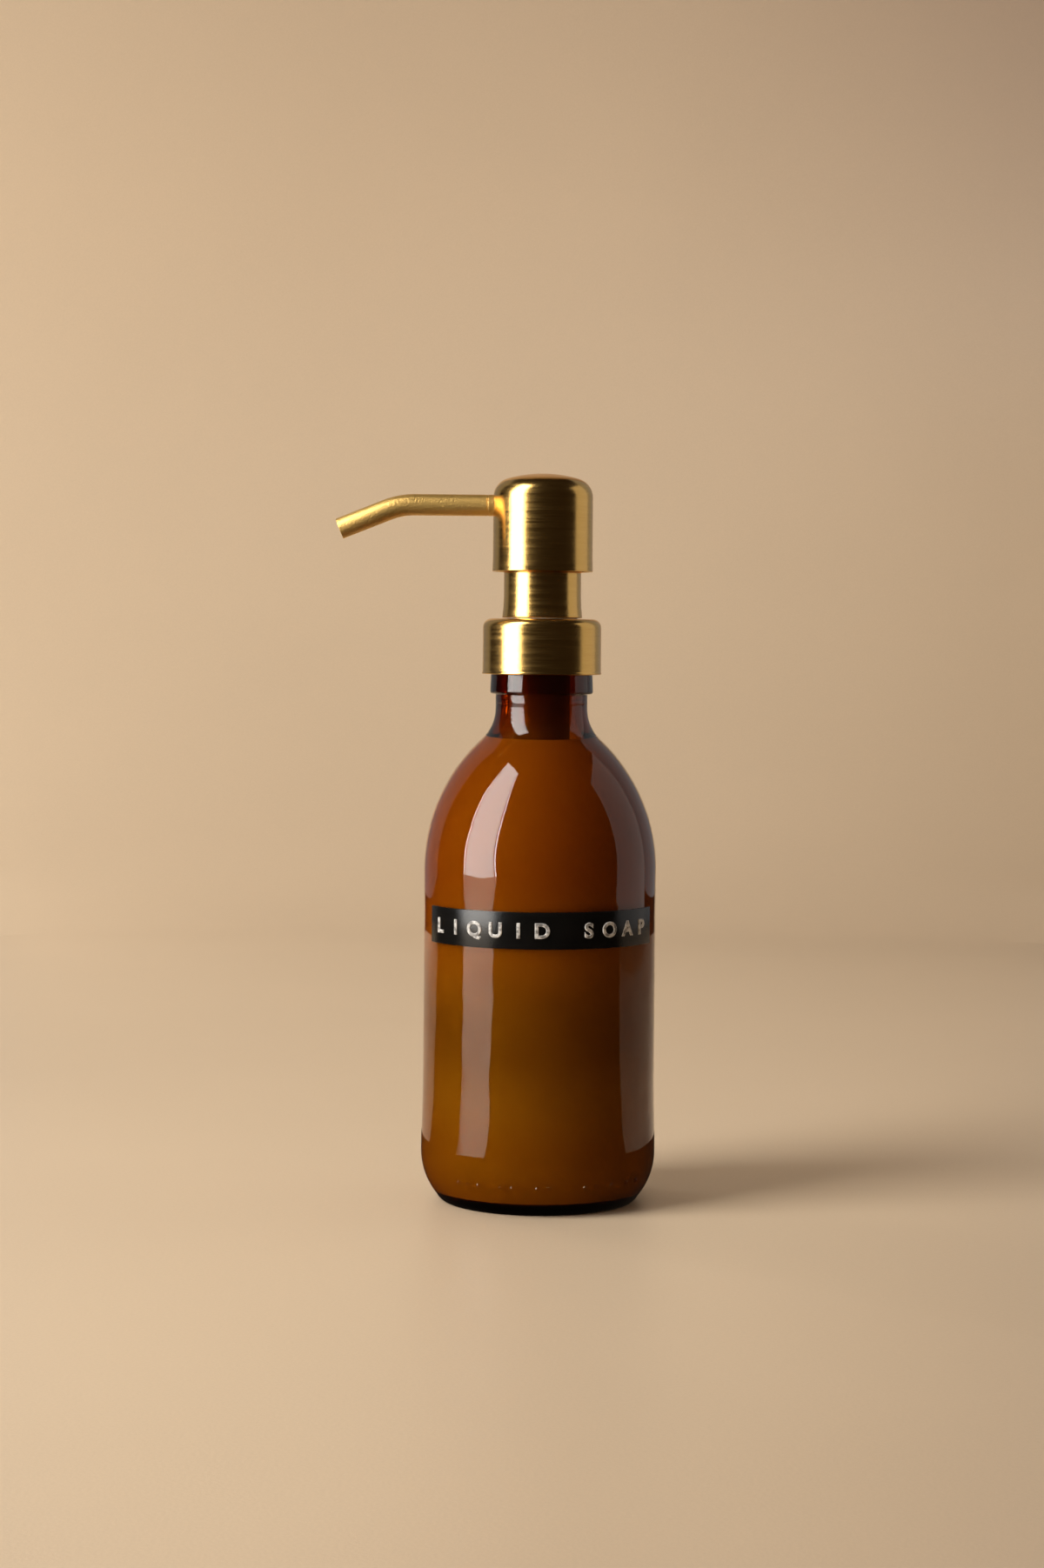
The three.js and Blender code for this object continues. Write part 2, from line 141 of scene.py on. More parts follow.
def settle(piece):
    only(piece)
    bpy.ops.object.transform_apply(location=True, rotation=True, scale=True)
    return piece


# %% [markdown]
# ## Outlines
#
# Nearly every piece of a pump is round, so it's drawn as half of its cross-section and turned
# about the bottle's axis, like work on a lathe. An outline is a list of corners: radius, height
# and, where an edge is rounded, the rounding. Corners are drawn sharp and rounded here, because a
# real edge is never sharp and the rounding is what catches the light.


# %% Outlines
def rounded(corners, closed, steps=6):
    """Outline points with every corner that states a rounding replaced by an arc."""
    points = []
    count = len(corners)
    for i, corner in enumerate(corners):
        here = Vector(corner[:2])
        if len(corner) < 3 or (not closed and i in (0, count - 1)):
            points.append(here)
            continue
        before = Vector(corners[i - 1][:2]) - here
        after = Vector(corners[(i + 1) % count][:2]) - here
        half = before.angle(after) / 2
        reach_back = min(corner[2] / math.tan(half), before.length * 0.49, after.length * 0.49)
        radius = reach_back * math.tan(half)
        inward = (before.normalized() + after.normalized()).normalized()
        middle = here + inward * radius / math.sin(half)
        first = here + before.normalized() * reach_back - middle
        last = here + after.normalized() * reach_back - middle
        sweep = first.angle_signed(last)
        for k in range(steps + 1):
            turned = first.copy()
            turned.rotate(Matrix.Rotation(-sweep * k / steps, 2))
            points.append(middle + turned)
    return points


def arc(centre_r, centre_z, radius, start, end, steps):
    """Points on an arc, from one angle to another, in degrees from the outward direction."""
    angles = [math.radians(start + (end - start) * i / steps) for i in range(steps + 1)]
    return [(centre_r + radius * math.cos(a), centre_z + radius * math.sin(a)) for a in angles]


# %% [markdown]
# Once its outline is swept, a mesh is cleaned up the same way each time: doubled corners are
# merged, open ends are capped, and the faces are turned outwards and shaded smooth except across
# sharp edges.

# %% Clean up and join
DOUBLED = 0.002
SHARP = 35


def edit_all():
    """Opens the active mesh for editing, with all of it selected."""
    bpy.ops.object.mode_set(mode="EDIT")
    bpy.ops.mesh.select_all(action="SELECT")


def pull(move):
    """Extrudes what is selected and moves the new part, in metres."""
    bpy.ops.mesh.extrude_region_move(TRANSFORM_OT_translate={"value": move})


def merge():
    """Merges doubled corners in the mesh that is being edited."""
    bpy.ops.mesh.select_all(action="SELECT")
    bpy.ops.mesh.remove_doubles(threshold=DOUBLED * MM)


def sweep_round(steps, angle=math.tau, up=1):
    """Spins everything in the mesh that is being edited about the bottle's axis."""
    bpy.ops.mesh.select_all(action="SELECT")
    bpy.ops.mesh.spin(steps=steps, angle=angle, center=(0, 0, 0), axis=(0, 0, up))


def cap_ends():
    """Fills the open ends of the mesh that is being edited."""
    bpy.ops.mesh.select_all(action="DESELECT")
    bpy.ops.mesh.select_non_manifold()
    bpy.ops.mesh.fill_holes(sides=0)


def finish(piece, sharp=SHARP):
    """Turns the faces outwards, leaves edit mode and shades all but the sharp edges smooth."""
    bpy.ops.mesh.select_all(action="SELECT")
    bpy.ops.mesh.normals_make_consistent(inside=False)
    bpy.ops.object.mode_set(mode="OBJECT")
    bpy.ops.object.shade_smooth_by_angle(angle=math.radians(sharp))
    print(f"{piece.name}: {len(piece.data.polygons)} faces")
    return piece


def join(pieces):
    """Joins several meshes into one."""
    clear_selection()
    for piece in pieces:
        piece.select_set(True)
    bpy.context.view_layer.objects.active = pieces[0]
    bpy.ops.object.join()
    return bpy.context.object


# %% Draw and turn an outline
def draw(name, points):
    """Draws a chain of edges through (radius, height) points, by extruding one vertex along it."""
    clear_selection()
    bpy.ops.mesh.primitive_plane_add(size=MM)
    piece = bpy.context.object
    piece.name = name
    edit_all()
    bpy.ops.mesh.merge(type="CENTER")
    pen = Vector((0, 0))
    for i, point in enumerate(points):
        step = (Vector(point) - pen) * MM
        move = (step.x, 0, step.y)
        if i == 0:
            bpy.ops.transform.translate(value=move)
        else:
            pull(move)
        pen = Vector(point)
    return piece


def turn(name, corners, sides=96):
    """Turns an outline about the bottle's axis. It's closed if it doesn't start on the axis."""
    closed = corners[0][0] > 0
    points = rounded(corners, closed)
    if closed:
        points.append(points[0])
    piece = draw(name, points)
    sweep_round(sides)
    merge()
    return finish(piece)


# %% [markdown]
# Some pieces are joined or cut by another shape. The Boolean modifier does both, and the tool is
# thrown away once it has been used.


# %% Join and cut
def combine(piece, tool, operation):
    modifier = piece.modifiers.new(operation.lower(), "BOOLEAN")
    modifier.operation = operation
    modifier.solver = "EXACT"
    modifier.object = tool
    only(piece)
    bpy.ops.object.modifier_apply(modifier=modifier.name)
    bpy.data.objects.remove(tool)
    bpy.ops.object.shade_smooth_by_angle(angle=math.radians(SHARP))
    print(f"{piece.name}: {len(piece.data.polygons)} faces after a {operation.lower()}")


def rod(radius, start, end, sides=48):
    """A plain round rod from one point to another, in millimetres, for cutting."""
    start, end = Vector(start) * MM, Vector(end) * MM
    along = end - start
    clear_selection()
    bpy.ops.mesh.primitive_cylinder_add(
        vertices=sides,
        radius=radius * MM,
        depth=along.length,
        location=(start + end) / 2,
        rotation=along.to_track_quat("Z", "Y").to_euler(),
    )
    return settle(bpy.context.object)


def block(low, high):
    """A plain box between two corners, in millimetres, for cutting."""
    low, high = Vector(low) * MM, Vector(high) * MM
    clear_selection()
    bpy.ops.mesh.primitive_cube_add(size=1, location=(low + high) / 2)
    bpy.context.object.scale = high - low
    return settle(bpy.context.object)


# %% [markdown]
# ## Screw threads
#
# A thread is one ridge that climbs as it goes round. Its cross-section is drawn once, and the
# Screw modifier sweeps it up the neck. The ends are then capped and pinched in, as a mould maker
# runs a thread out, so that the cap can start on it.

# %% One thread
THREAD_LEAD = 25.4 / 6
THREAD_TURNS = 1.25
THREAD_LOW = 150.6
THREAD_EDGE = 0.2
STEPS_A_TURN = 72
RUN_OUT = (0.1, 0.45, 0.8)


def thread_ridge(name, root, crest, low, root_half=1.0, crest_half=0.5):
    section = [
        (root, low - root_half, THREAD_EDGE),
        (crest, low - crest_half, THREAD_EDGE),
        (crest, low + crest_half, THREAD_EDGE),
        (root, low + root_half, THREAD_EDGE),
    ]
    ridge = draw(name, rounded(section, True, steps=2))
    bpy.ops.mesh.select_all(action="SELECT")
    bpy.ops.mesh.edge_face_add()
    bpy.ops.mesh.delete(type="ONLY_FACE")
    bpy.ops.object.mode_set(mode="OBJECT")
    corners = len(ridge.data.vertices)
    climb = ridge.modifiers.new("climb", "SCREW")
    climb.angle = math.tau * THREAD_TURNS
    climb.screw_offset = THREAD_LEAD * THREAD_TURNS * MM
    climb.steps = climb.render_steps = int(STEPS_A_TURN * THREAD_TURNS)
    only(ridge)
    bpy.ops.object.modifier_apply(modifier=climb.name)
    rings = len(ridge.data.vertices) // corners
    for vertex in ridge.data.vertices:
        ring = vertex.index // corners
        from_end = min(ring, rings - 1 - ring)
        if from_end < len(RUN_OUT):
            out = Vector((vertex.co.x, vertex.co.y, 0))
            vertex.co += out.normalized() * (root * MM - out.length) * (1 - RUN_OUT[from_end])
    bpy.ops.object.mode_set(mode="EDIT")
    cap_ends()
    return finish(ridge)


# %% [markdown]
# ## The glass bottle
#
# The bottle is one closed skin: up the outside, over the rim and down the inside, so that light
# is bent twice as it passes through the wall, as in real glass. The shoulder is a large round arc
# that runs into a small hollow one at the neck, and their meeting point is worked out, so that
# the curve has no kink. The sides are a hair hollow, so that a label isn't rubbed. The slopes
# into that panel are so gentle that they hardly bend a reflection.

# %% Turn the bottle
WALL = 2.2
SHOULDER_LOW = 92.0
SHOULDER_ARC = 49.5
NECK_ARC = 12.0
NECK_RADIUS = 12.9
BORE = 9.1
BEAD_LOW = 141.0
FINISH_RADIUS = 12.6
THREAD_CREST = 13.7
PUSH_UP = 1.0
PUSH_UP_RADIUS = 23.2
SEAM_HEIGHT = 138.5
FLOOR_TOP = 3.6
HEEL_WALL = 2.1
PANEL_LOW, PANEL_HIGH, PANEL_DEPTH = 29.0, 80.0, 0.15
HEEL_ARC = 18.5
HEEL_TOP = 13.5


def shoulder(body, neck, big, small, steps):
    """The shoulder from the top of a straight body to the foot of a straight neck."""
    big_centre = body - big
    across = neck + small - big_centre
    rise = math.sqrt((big + small) ** 2 - across**2)
    meet = math.degrees(math.atan2(rise, across))
    lower = arc(big_centre, SHOULDER_LOW, big, 0, meet, steps)
    upper = arc(neck + small, SHOULDER_LOW + rise, small, 180 + meet, 180, steps // 2)
    return lower + upper[1:]


panel_radius = body_radius - PANEL_DEPTH
heel = arc(heel_radius - HEEL_ARC, HEEL_TOP, HEEL_ARC, -38.5, 0, 14)
bearing_ring = [(24.4, 0.35, 0.6), (24.8, 0, 0.4), (26.9, 0, 1.0), (27.9, 0.9, 0.9)]
label_panel = [
    (heel_radius, HEEL_TOP + 4, 300),
    (panel_radius, PANEL_LOW, 400),
    (panel_radius, PANEL_HIGH, 600),
]
parting_line = [
    (NECK_RADIUS, SEAM_HEIGHT - 0.15),
    (NECK_RADIUS + 0.07, SEAM_HEIGHT),
    (NECK_RADIUS, SEAM_HEIGHT + 0.15),
]
bead = [
    (NECK_RADIUS, BEAD_LOW, 0.35),
    (14.5, BEAD_LOW, 0.8),
    (14.2, 148.5, 0.6),
    (FINISH_RADIUS, 148.7, 0.3),
]
rim_edge = [(FINISH_RADIUS, rim, 0.7), (BORE, rim, 0.6)]
outside = shoulder(body_radius, NECK_RADIUS, SHOULDER_ARC, NECK_ARC, 40)
inside = shoulder(body_radius - WALL, BORE, SHOULDER_ARC - WALL, NECK_ARC + WALL, 40)
inner_heel = arc(heel_radius - HEEL_ARC, HEEL_TOP, HEEL_ARC - HEEL_WALL, 0, -36, 14)
inner_floor = [(0, FLOOR_TOP)]
bottle = turn(
    "bottle",
    [(0, PUSH_UP), (PUSH_UP_RADIUS, PUSH_UP, 0.8)]
    + bearing_ring
    + heel
    + label_panel
    + outside
    + parting_line
    + bead
    + rim_edge
    + inside[::-1]
    + inner_heel
    + inner_floor,
    sides=160,
)
neck_thread = thread_ridge("neck_thread", FINISH_RADIUS - 0.3, THREAD_CREST, THREAD_LOW)
combine(bottle, neck_thread, "UNION")

# %% [markdown]
# Glassworks mould a row of raised dots into the heel, which a reader on the line uses to know
# which mould a bottle came from. Each is half of a small ball, sunk into the glass. The balls are
# set round the heel, and all of them are joined to the glass at once.

# %% Add the mould dots
DOT_ANGLES = (-42.6, -36.6, -30.6, -18.6, -12.6, -0.6, 5.4, 23.4, 29.4, 38.4, 48.6, 56.4)
DOT_HEIGHT = 8.3
DOT_RADIUS = 0.68
DOT_SUNK = 0.06

heel_here = math.sqrt(HEEL_ARC**2 - (HEEL_TOP - DOT_HEIGHT) ** 2)
dot_place = heel_radius - HEEL_ARC + heel_here - DOT_SUNK
clear_selection()
dots = []
for angle in DOT_ANGLES:
    a = math.radians(angle)
    place = Vector((math.sin(a) * dot_place, -math.cos(a) * dot_place, DOT_HEIGHT)) * MM
    bpy.ops.mesh.primitive_ico_sphere_add(subdivisions=3, radius=DOT_RADIUS * MM, location=place)
    dots.append(bpy.context.object)
combine(bottle, settle(join(dots)), "UNION")

# %% [markdown]
# ## The soap
#
# The bottle is full to the neck. The soap reaches a hair into the glass, so that no film of air
# is left between them and it looks wet, and it leaves a well for the pump's barrel and its dip
# tube.

# %% Fill the bottle
SOAP_LEVEL = 127.5
WETTING = 0.04
WELL_RADIUS = 8.25
FOOT_WELL_RADIUS = 4.85
TUBE_WELL_RADIUS = 3.2
TUBE_WELL_LOW = 6.2


def soap_wall(points):
    return [(r + WETTING, z) for r, z in points]


pump_well = [
    (WELL_RADIUS, SOAP_LEVEL, 0.4),
    (WELL_RADIUS, 120.8),
    (FOOT_WELL_RADIUS, 115.2),
    (FOOT_WELL_RADIUS, housing_low - 0.2),
    (TUBE_WELL_RADIUS, housing_low - 0.2),
    (TUBE_WELL_RADIUS, TUBE_WELL_LOW),
    (0, TUBE_WELL_LOW),
]
soap_side = [p for p in inside if p[1] < SOAP_LEVEL - 1.2]
soap_edge = min(inside, key=lambda p: abs(p[1] - SOAP_LEVEL))
soap = turn(
    "soap",
    [(0, FLOOR_TOP - WETTING)]
    + soap_wall(inner_heel[::-1])
    + soap_wall(soap_side)
    + [(soap_edge[0] + WETTING, SOAP_LEVEL + 0.5, 0.2), (soap_edge[0] - 0.9, SOAP_LEVEL, 0.8)]
    + pump_well,
    sides=128,
)

# %% [markdown]
# ## The label
#
# The label is a strip of plastic embossing tape. Its small rectangular section is drawn with
# rounded edges, turned to the label's left end, spun round the bottle to its right end, and
# capped at both ends.

# %% Lay the tape
LABEL_LEFT, LABEL_RIGHT = -65.5, 68.0
TAPE_THICKNESS = 0.3
TAPE_STEPS = 144


def on_front(vertex):
    """Where a corner is round the bottle, in degrees from the front, positive to the right."""
    return math.degrees(math.atan2(vertex.co.x, -vertex.co.y))


tape_back = label_radius - TAPE_THICKNESS
tape_section = [
    (tape_back, label_low, 0.04),
    (label_radius, label_low, 0.1),
    (label_radius, label_high, 0.1),
    (tape_back, label_high, 0.04),
]
section_points = rounded(tape_section, True, steps=3)
tape = draw("label", section_points + [section_points[0]])
bpy.ops.mesh.select_all(action="SELECT")
start = math.radians(90 - LABEL_LEFT)
bpy.ops.transform.rotate(value=start, orient_axis="Z", center_override=(0, 0, 0))
sweep_round(TAPE_STEPS, math.radians(LABEL_RIGHT - LABEL_LEFT), -1)
merge()
cap_ends()
finish(tape)
ends = [on_front(v) for v in tape.data.vertices]
print(f"label from {min(ends):.1f} to {max(ends):.1f} degrees")

# %% [markdown]
# The letters are pressed into such tape from behind by a wheel of dies, one letter to each click
# of the wheel, so they're evenly spaced whatever their width. Each letter starts as a text
# object, with its strokes fattened and its edges rounded. It's then made a mesh and wrapped round
# the bottle.

# %% Emboss the letters
WORDS = "LIQUID SOAP"
LETTER_HEIGHT = 3.85
LETTER_RISE = 0.26
CLICK = 11.4
FIRST_LETTER = -56.0
STROKE_GROWTH = 0.006
WIDEN = 1.05


def emboss(letter, middle):
    """One raised letter on the tape, with its middle at that angle from the front."""
    clear_selection()
    bpy.ops.object.text_add()
    text = bpy.context.object
    text.data.body = letter
    text.data.align_x = "CENTER"
    text.data.offset = STROKE_GROWTH
    text.data.resolution_u = 6
    text.data.extrude = 0.01
    text.data.bevel_depth = 0.03
    text.data.bevel_resolution = 3
    bpy.ops.object.convert(target="MESH")
    raised = bpy.context.object
    edit_all()
    bpy.ops.mesh.remove_doubles(threshold=0.0005)
    bpy.ops.mesh.normals_make_consistent(inside=False)
    bpy.ops.object.mode_set(mode="OBJECT")
    corners = [v.co for v in raised.data.vertices]
    left, right = min(c.x for c in corners), max(c.x for c in corners)
    deep = max(c.z for c in corners)
    scale = LETTER_HEIGHT / CAP_HEIGHT
    for vertex in raised.data.vertices:
        x, y, z = vertex.co
        along = (x - (left + right) / 2) * scale * WIDEN
        up = (y - CAP_MIDDLE) * scale + (label_low + label_high) / 2
        out = label_radius + z / deep * LETTER_RISE
        angle = math.radians(middle) + along / label_radius
        vertex.co = Vector((math.sin(angle) * out, -math.cos(angle) * out, up)) * MM
    raised.name = "letter"
    return raised


bpy.ops.object.text_add()
bpy.context.object.data.body = "I"
bpy.context.object.data.offset = STROKE_GROWTH
bpy.ops.object.convert(target="MESH")
ruler = bpy.context.object
CAP_HEIGHT = ruler.dimensions.y
CAP_MIDDLE = sum(corner[1] for corner in ruler.bound_box) / 8
bpy.data.objects.remove(ruler)
letters = [emboss(c, FIRST_LETTER + CLICK * i) for i, c in enumerate(WORDS) if c != " "]
lettering = join(letters)
lettering.name = "lettering"
bpy.ops.object.shade_smooth_by_angle(angle=math.radians(50))
print("lettering:", len(lettering.data.polygons), "faces")

# %% [markdown]
# ## The brass shells
#
# The head, the sleeve and the collar are thin pressed shells, turned here with their true wall.
# Their open edges are only lightly rounded, so they show as fine bright lines. The head's crown
# is a shallow dome that runs smoothly into its rounded shoulder.

# %% Turn the head
SHELL = 0.65
HEAD_CORNER = 5.5
CORNER_CENTRE = 196.0
straight_head = head_radius - 0.12


def crown(corner, top, steps):
    """The head's rounded shoulder and its shallow dome, from the side up to the axis."""
    centre = straight_head - HEAD_CORNER
    rise = top - CORNER_CENTRE
    dome = (centre**2 + rise**2 - corner**2) / (2 * (rise - corner))
    meet = math.degrees(math.atan2(CORNER_CENTRE - (top - dome), centre))
    side = arc(centre, CORNER_CENTRE, corner, 0, meet, steps)
    return side + arc(0, top - dome, dome, meet, 90, steps)[1:-1] + [(0, top)]


head = turn(
    "head",
    crown(HEAD_CORNER - SHELL, head_high - SHELL, 14)[::-1]
    + [(straight_head - SHELL, head_low + 4)]
    + [(head_radius - SHELL, head_low, 0.15), (head_radius, head_low, 0.22)]
    + [(straight_head, head_low + 4, 6)]
    + crown(HEAD_CORNER, head_high, 18),
    sides=128,
)
outside_head = (-straight_head - 2, 0, spout_height)
inside_head = (-straight_head / 2, 0, spout_height)
combine(head, rod(spout_radius + 0.12, outside_head, inside_head), "DIFFERENCE")

# %% Turn the collar and the sleeve
COLLAR_WALL = 0.6
COLLAR_HOLE = 10.9
collar_side = collar_radius - 0.15
collar = turn(
    "collar",
    [
        (COLLAR_HOLE, collar_high, 0.2),
        (COLLAR_HOLE, collar_high - COLLAR_WALL, 0.2),
        (collar_side - COLLAR_WALL, collar_high - COLLAR_WALL, 1.8),
        (collar_side - COLLAR_WALL, collar_low + 5),
        (collar_radius - COLLAR_WALL, collar_low, 0.15),
        (collar_radius, collar_low, 0.22),
        (collar_radius - 0.02, collar_low + 0.5, 0.2),
        (collar_side + 0.03, collar_low + 0.75, 0.3),
        (collar_side, collar_low + 5, 6),
        (collar_side, collar_high, 2.4),
    ],
    sides=128,
)
sleeve_side = sleeve_lip - 0.4
sleeve = turn(
    "sleeve",
    [
        (sleeve_side - 0.55, sleeve_low, 0.15),
        (sleeve_lip, sleeve_low, 0.25),
        (sleeve_side + 0.12, sleeve_low + 3, 4),
        (sleeve_side, sleeve_low + 6, 4),
        (sleeve_side, sleeve_high, 0.5),
        (sleeve_side - 1.1, sleeve_high, 0.1),
        (sleeve_side - 0.5, sleeve_high - 0.6, 0.1),
        (sleeve_side - 0.5, sleeve_low + 0.8, 0.1),
    ],
    sides=128,
)

# %% [markdown]
# ## The spout
#
# The spout is a drawn tube with one bend. A circle is drawn at its root inside the head, extruded
# to where the bend starts, spun round the centre of the bend, and extruded again to the mouth.
# Solidify then gives the tube its wall, and the rim of its mouth is bevelled.

# %% Bend the spout and its liner
SPOUT_ROOT = 6.5
DIP = math.radians(21.9)
BEND = 20.5
SPOUT_WALL = 0.7
GROOVE = 0.22
PINCH = 0.965
BEND_CORNER = 39.9
mouth = spout_mouth - spout_radius * math.sin(DIP)
bend_tangent = BEND * math.tan(DIP / 2)
bend_start = BEND_CORNER - bend_tangent
bend_end = BEND_CORNER + bend_tangent * math.cos(DIP)
straight_end = (mouth - bend_end) / math.cos(DIP)


def bent_tube(name, radius, wall, root, shorter=0.0, groove=None):
    """A tube with one bend, which may have a fine groove round it before the bend."""
    clear_selection()
    bpy.ops.mesh.primitive_circle_add(
        vertices=48,
        radius=radius * MM,
        location=(-root * MM, 0, spout_height * MM),
        rotation=(0, math.pi / 2, 0),
    )
    tube = settle(bpy.context.object)
    tube.name = name
    edit_all()
    here = root
    if groove:
        steps = ((groove - root, 1), (GROOVE / 2, PINCH), (GROOVE, 1), (GROOVE / 2, 1 / PINCH))
        for step, pinch in steps:
            pull((-step * MM, 0, 0))
            here += step
            middle = (-here * MM, 0, spout_height * MM)
            bpy.ops.transform.resize(value=(1, pinch, pinch), center_override=middle)
    pull(((here - bend_start) * MM, 0, 0))
    centre = (-bend_start * MM, 0, (spout_height - BEND) * MM)
    bpy.ops.mesh.spin(steps=16, angle=DIP, center=centre, axis=(0, 1, 0))
    last = (straight_end - shorter) * MM
    pull((-last * math.cos(DIP), 0, -last * math.sin(DIP)))
    merge()
    bpy.ops.mesh.normals_make_consistent(inside=False)
    bpy.ops.object.mode_set(mode="OBJECT")
    shell = tube.modifiers.new("wall", "SOLIDIFY")
    shell.thickness = wall * MM
    shell.offset = -1
    edges = tube.modifiers.new("edges", "BEVEL")
    edges.width = 0.12 * MM
    edges.segments = 3
    edges.limit_method = "ANGLE"
    edges.angle_limit = math.radians(60)
    bpy.ops.object.modifier_apply(modifier="wall")
    bpy.ops.object.modifier_apply(modifier="edges")
    bpy.ops.object.shade_smooth_by_angle(angle=math.radians(SHARP))
    low = min(v.co.z for v in tube.data.vertices) / MM
    left = min(v.co.x for v in tube.data.vertices) / MM
    print(f"{name}: lowest {low:.2f}, furthest out {-left:.2f}, {len(tube.data.polygons)} faces")
    return tube


spout = bent_tube("spout", spout_radius, SPOUT_WALL, SPOUT_ROOT, groove=straight_head + 1.3)
liner = bent_tube("liner", spout_radius - SPOUT_WALL - 0.12, 0.65, SPOUT_ROOT + 0.4, shorter=1.0)

# %% [markdown]
# ## Inside the head
#
# The shells are only skins. A moulded insert fills the crown of the head: the stem is pressed
# into its hub from below, the spout into its side, and a narrow channel joins the two. An O-ring
# seals the spout's root.

# %% The insert and the O-ring
STEM_TOP = reach("pump_stem")[1]
STEM_RADIUS = 4.0
INSERT_RADIUS = 13.1
CHANNEL = 1.8
SEAL_PLACE = 9.6
SEAL_GROOVE = 4.35
SEAL_THICKNESS = 0.55
insert_low, insert_high, _ = reach("head_insert")
insert_floor = insert_low + 7.6
insert = turn(
    "insert",
    [
        (0, insert_low),
        (6.4, insert_low, 0.4),
        (6.4, insert_floor, 0.6),
        (INSERT_RADIUS, insert_floor, 0.3),
        (INSERT_RADIUS, CORNER_CENTRE - 0.4, 1.5),
        (11.0, insert_high, 0.6),
        (0, insert_high),
    ],
)
stem_socket = rod(STEM_RADIUS + 0.1, (0, 0, insert_low - 1), (0, 0, STEM_TOP + 0.1))
combine(insert, stem_socket, "DIFFERENCE")


def level_rod(radius, outer, inner):
    """A rod on the spout's line, between two distances to the left of the axis."""
    return rod(radius, (-outer, 0, spout_height), (-inner, 0, spout_height))


for tool in (
    level_rod(spout_radius + 0.1, INSERT_RADIUS + 1, SPOUT_ROOT - 0.1),
    level_rod(CHANNEL, SPOUT_ROOT + 1, -CHANNEL),
    rod(CHANNEL, (0, 0, STEM_TOP - 1), (0, 0, spout_height)),
    level_rod(SEAL_GROOVE, SEAL_PLACE + 0.7, SEAL_PLACE - 0.7),
):
    combine(insert, tool, "DIFFERENCE")

clear_selection()
bpy.ops.mesh.primitive_torus_add(
    major_radius=(spout_radius + 0.67) * MM,
    minor_radius=SEAL_THICKNESS * MM,
    major_segments=48,
    minor_segments=16,
    location=(-SEAL_PLACE * MM, 0, spout_height * MM),
    rotation=(0, math.pi / 2, 0),
)
seal = settle(bpy.context.object)
seal.name = "seal"
bpy.ops.object.shade_smooth()

# %% [markdown]
# ## Under the collar
#
# A plastic closure with the cap's thread is pressed into the collar. It holds the barrel's flange
# down on a soft gasket on the rim of the glass. The chaplet snaps into the top of the barrel,
# guides the stem and carries the brass sleeve.

# %% The closure
CLOSURE_BORE, CLOSURE_RADIUS, CLOSURE_HOLE = 14.6, 15.85, 10.2
CLOSURE_LOW, CLOSURE_ROOF, CLOSURE_TOP = 147, 160.3, 161.2
closure = turn(
    "closure",
    [
        (CLOSURE_BORE, CLOSURE_LOW, 0.3),
        (CLOSURE_RADIUS, CLOSURE_LOW, 0.2),
        (CLOSURE_RADIUS, CLOSURE_TOP, 2.0),
        (CLOSURE_HOLE, CLOSURE_TOP, 0.2),
        (CLOSURE_HOLE, CLOSURE_ROOF, 0.2),
        (CLOSURE_BORE, CLOSURE_ROOF, 0.5),
    ],
)
closure_thread = thread_ridge("closure_thread", CLOSURE_BORE + 0.4, 13.05, THREAD_LOW - 1.6)
combine(closure, closure_thread, "UNION")

# %% The barrel and its gasket
BARREL_BORE, BARREL_RADIUS, BARREL_FLOOR = 7, 8, 121
BALL_WELL, SEAT_HOLE, SEAT_FOOT = 3.6, 1.6, 115.5
TUBE_SOCKET, SOCKET_TOP, SOCKET_RADIUS = 3.15, 113, 4.6
flange_low = flange_top - 1.4
barrel = turn(
    "barrel",
    [
        (BARREL_BORE, flange_top, 0.2),
        (BARREL_BORE, BARREL_FLOOR, 0.4),
        (BALL_WELL, BARREL_FLOOR, 0.2),
        (BALL_WELL, SEAT_FOOT + 2, 0.2),
        (SEAT_HOLE, SEAT_FOOT, 0.1),
        (SEAT_HOLE, SOCKET_TOP, 0.1),
        (TUBE_SOCKET, SOCKET_TOP, 0.1),
        (TUBE_SOCKET, housing_low, 0.15),
        (SOCKET_RADIUS, housing_low, 0.3),
        (SOCKET_RADIUS, SEAT_FOOT, 0.5),
        (BARREL_RADIUS, BARREL_FLOOR, 1),
        (BARREL_RADIUS, flange_low, 0.5),
        (flange_radius, flange_low, 0.25),
        (flange_radius, flange_top, 0.25),
    ],
)
vent = rod(0.6, (6, 0, 151), (9, 0, 151), sides=24)
combine(barrel, vent, "DIFFERENCE")

gasket_low, gasket_high, gasket_radius = reach("rim_gasket")
gasket_corners = ((8.4, gasket_low), (8.4, gasket_high))
gasket_corners += ((gasket_radius, gasket_high), (gasket_radius, gasket_low))
gasket = turn("gasket", [(*corner, 0.2) for corner in gasket_corners])

# %% The chaplet
chaplet_low, chaplet_high, _ = reach("snap_chaplet")
chaplet = turn(
    "chaplet",
    [
        (4.3, chaplet_low, 0.3),
        (6.8, chaplet_low, 0.3),
        (6.8, flange_top + 0.15, 0.1),
        (9.8, flange_top + 0.15, 0.3),
        (9.8, sleeve_low + 0.6, 0.1),
        (10.15, sleeve_low + 1.2, 0.2),
        (10.15, chaplet_high, 0.3),
        (8.95, chaplet_high, 0.3),
        (8.95, 168, 0.5),
        (4.3, 168, 0.3),
    ],
)

# %% [markdown]
# ## The valve and the plunger
#
# The dip tube's foot is cut on the slant, so that it can't seal against the floor of the bottle.
# Bisect does the cutting and fills the cut. The ball lies on a cone under a pierced disc, and the
# spring stands on that disc and pushes the piston rod up.

